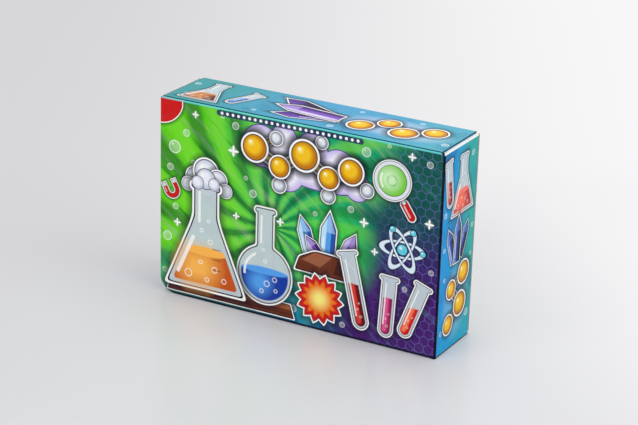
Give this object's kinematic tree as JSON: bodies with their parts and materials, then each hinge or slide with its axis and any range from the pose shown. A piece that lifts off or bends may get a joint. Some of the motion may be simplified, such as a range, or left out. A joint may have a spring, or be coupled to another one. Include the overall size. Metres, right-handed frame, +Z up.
{
  "type": "chemistry set case",
  "caption": "Tuck-end carton of printed fine-flute board, with hinged end closures and a die-cut platform inside that holds a chemistry kit.",
  "frame": {"origin": "middle of the underside, the long narrow side that the case stands on", "axes": "+X along the case's length to its right end as seen from the printed front, +Y from the printed front to the back, +Z up"},
  "size_m": [0.3, 0.073, 0.2],
  "materials": {
    "printed_board": "gloss-laminated print over fine-flute board, washboard texture",
    "insert_board": "plain kraft fine-flute board",
    "booklet_paper": "satin printed paper",
    "white_plastic": "moulded, glossy",
    "lens_plastic": "clear polycarbonate",
    "screw_steel": "plain",
    "red_plastic": "moulded, glossy",
    "stopper_plastic": "soft moulded plastic",
    "clear_plastic": "clear polystyrene",
    "cap_plastic": "moulded, satin",
    "jar_plastic": "moulded, satin",
    "crystals": "hydrogel granules",
    "dish_metal": "pressed, satin",
    "pipette_plastic": "translucent soft plastic",
    "spoon_plastic": "moulded, satin"
  },
  "bodies": {
    "case": {"back_panel": "printed_board", "booklet": "booklet_paper", "bottle_connector": "red_plastic", "bottom_panel": "printed_board", "dish": "dish_metal", "front_panel": "printed_board", "glue_flap": "printed_board", "goggles_frame": "white_plastic", "goggles_screws": "screw_steel", "growing_crystals": "crystals", "growing_jar": "clear_plastic", "growing_jar_lid": "cap_plastic", "insert_deck": "insert_board", "insert_lower_leg": "insert_board", "insert_upper_leg": "insert_board", "jar_cap_1": "cap_plastic", "jar_cap_2": "cap_plastic", "jar_cap_3": "cap_plastic", "jar_cap_4": "cap_plastic", "left_lens": "lens_plastic", "left_temple": "white_plastic", "measuring_beaker": "clear_plastic", "measuring_spoon": "spoon_plastic", "pipette": "pipette_plastic", "reagent_jar_1": "jar_plastic", "reagent_jar_2": "jar_plastic", "reagent_jar_3": "jar_plastic", "reagent_jar_4": "jar_plastic", "right_lens": "lens_plastic", "right_temple": "white_plastic", "test_tube_1": "clear_plastic", "test_tube_2": "clear_plastic", "test_tube_3": "clear_plastic", "test_tube_4": "clear_plastic", "top_panel": "printed_board", "tube_rack": "red_plastic", "tube_stopper_1": "stopper_plastic", "tube_stopper_2": "stopper_plastic", "tube_stopper_3": "stopper_plastic", "tube_stopper_4": "stopper_plastic"},
    "right_closure": {"right_closure": "printed_board"},
    "right_tuck_flap": {"right_tuck_flap": "printed_board"},
    "right_top_dust_flap": {"right_top_dust_flap": "printed_board"},
    "right_bottom_dust_flap": {"right_bottom_dust_flap": "printed_board"},
    "left_closure": {"left_closure": "printed_board"},
    "left_tuck_flap": {"left_tuck_flap": "printed_board"},
    "left_top_dust_flap": {"left_top_dust_flap": "printed_board"},
    "left_bottom_dust_flap": {"left_bottom_dust_flap": "printed_board"}
  },
  "joints": [
    {"name": "right_closure_hinge", "type": "hinge", "parent": "case", "child": "right_closure", "pos_m": [0.15, -0.0365, 0.1], "axis": [0, 0, -1], "range_deg": [0, 180]},
    {"name": "right_tuck_crease", "type": "hinge", "parent": "right_closure", "child": "right_tuck_flap", "pos_m": [0.15, 0.0345, 0.1], "axis": [0, 0, -1], "range_deg": [0, 45]},
    {"name": "right_top_dust_crease", "type": "hinge", "parent": "case", "child": "right_top_dust_flap", "pos_m": [0.1481, 0, 0.2], "axis": [0, -1, 0], "range_deg": [0, 90]},
    {"name": "right_bottom_dust_crease", "type": "hinge", "parent": "case", "child": "right_bottom_dust_flap", "pos_m": [0.1481, 0, 0], "axis": [0, 1, 0], "range_deg": [0, 90]},
    {"name": "left_closure_hinge", "type": "hinge", "parent": "case", "child": "left_closure", "pos_m": [-0.15, -0.0365, 0.1], "axis": [0, 0, 1], "range_deg": [0, 180]},
    {"name": "left_tuck_crease", "type": "hinge", "parent": "left_closure", "child": "left_tuck_flap", "pos_m": [-0.15, 0.0345, 0.1], "axis": [0, 0, 1], "range_deg": [0, 45]},
    {"name": "left_top_dust_crease", "type": "hinge", "parent": "case", "child": "left_top_dust_flap", "pos_m": [-0.1481, 0, 0.2], "axis": [0, 1, 0], "range_deg": [0, 90]},
    {"name": "left_bottom_dust_crease", "type": "hinge", "parent": "case", "child": "left_bottom_dust_flap", "pos_m": [-0.1481, 0, 0], "axis": [0, -1, 0], "range_deg": [0, 90]}
  ],
  "couplings": [
    {"joint": "right_tuck_crease", "follows": "right_closure_hinge", "ratio": 0.25},
    {"joint": "right_top_dust_crease", "follows": "right_closure_hinge", "ratio": 0.5},
    {"joint": "right_bottom_dust_crease", "follows": "right_closure_hinge", "ratio": 0.5},
    {"joint": "left_tuck_crease", "follows": "left_closure_hinge", "ratio": 0.25},
    {"joint": "left_top_dust_crease", "follows": "left_closure_hinge", "ratio": 0.5},
    {"joint": "left_bottom_dust_crease", "follows": "left_closure_hinge", "ratio": 0.5}
  ]
}
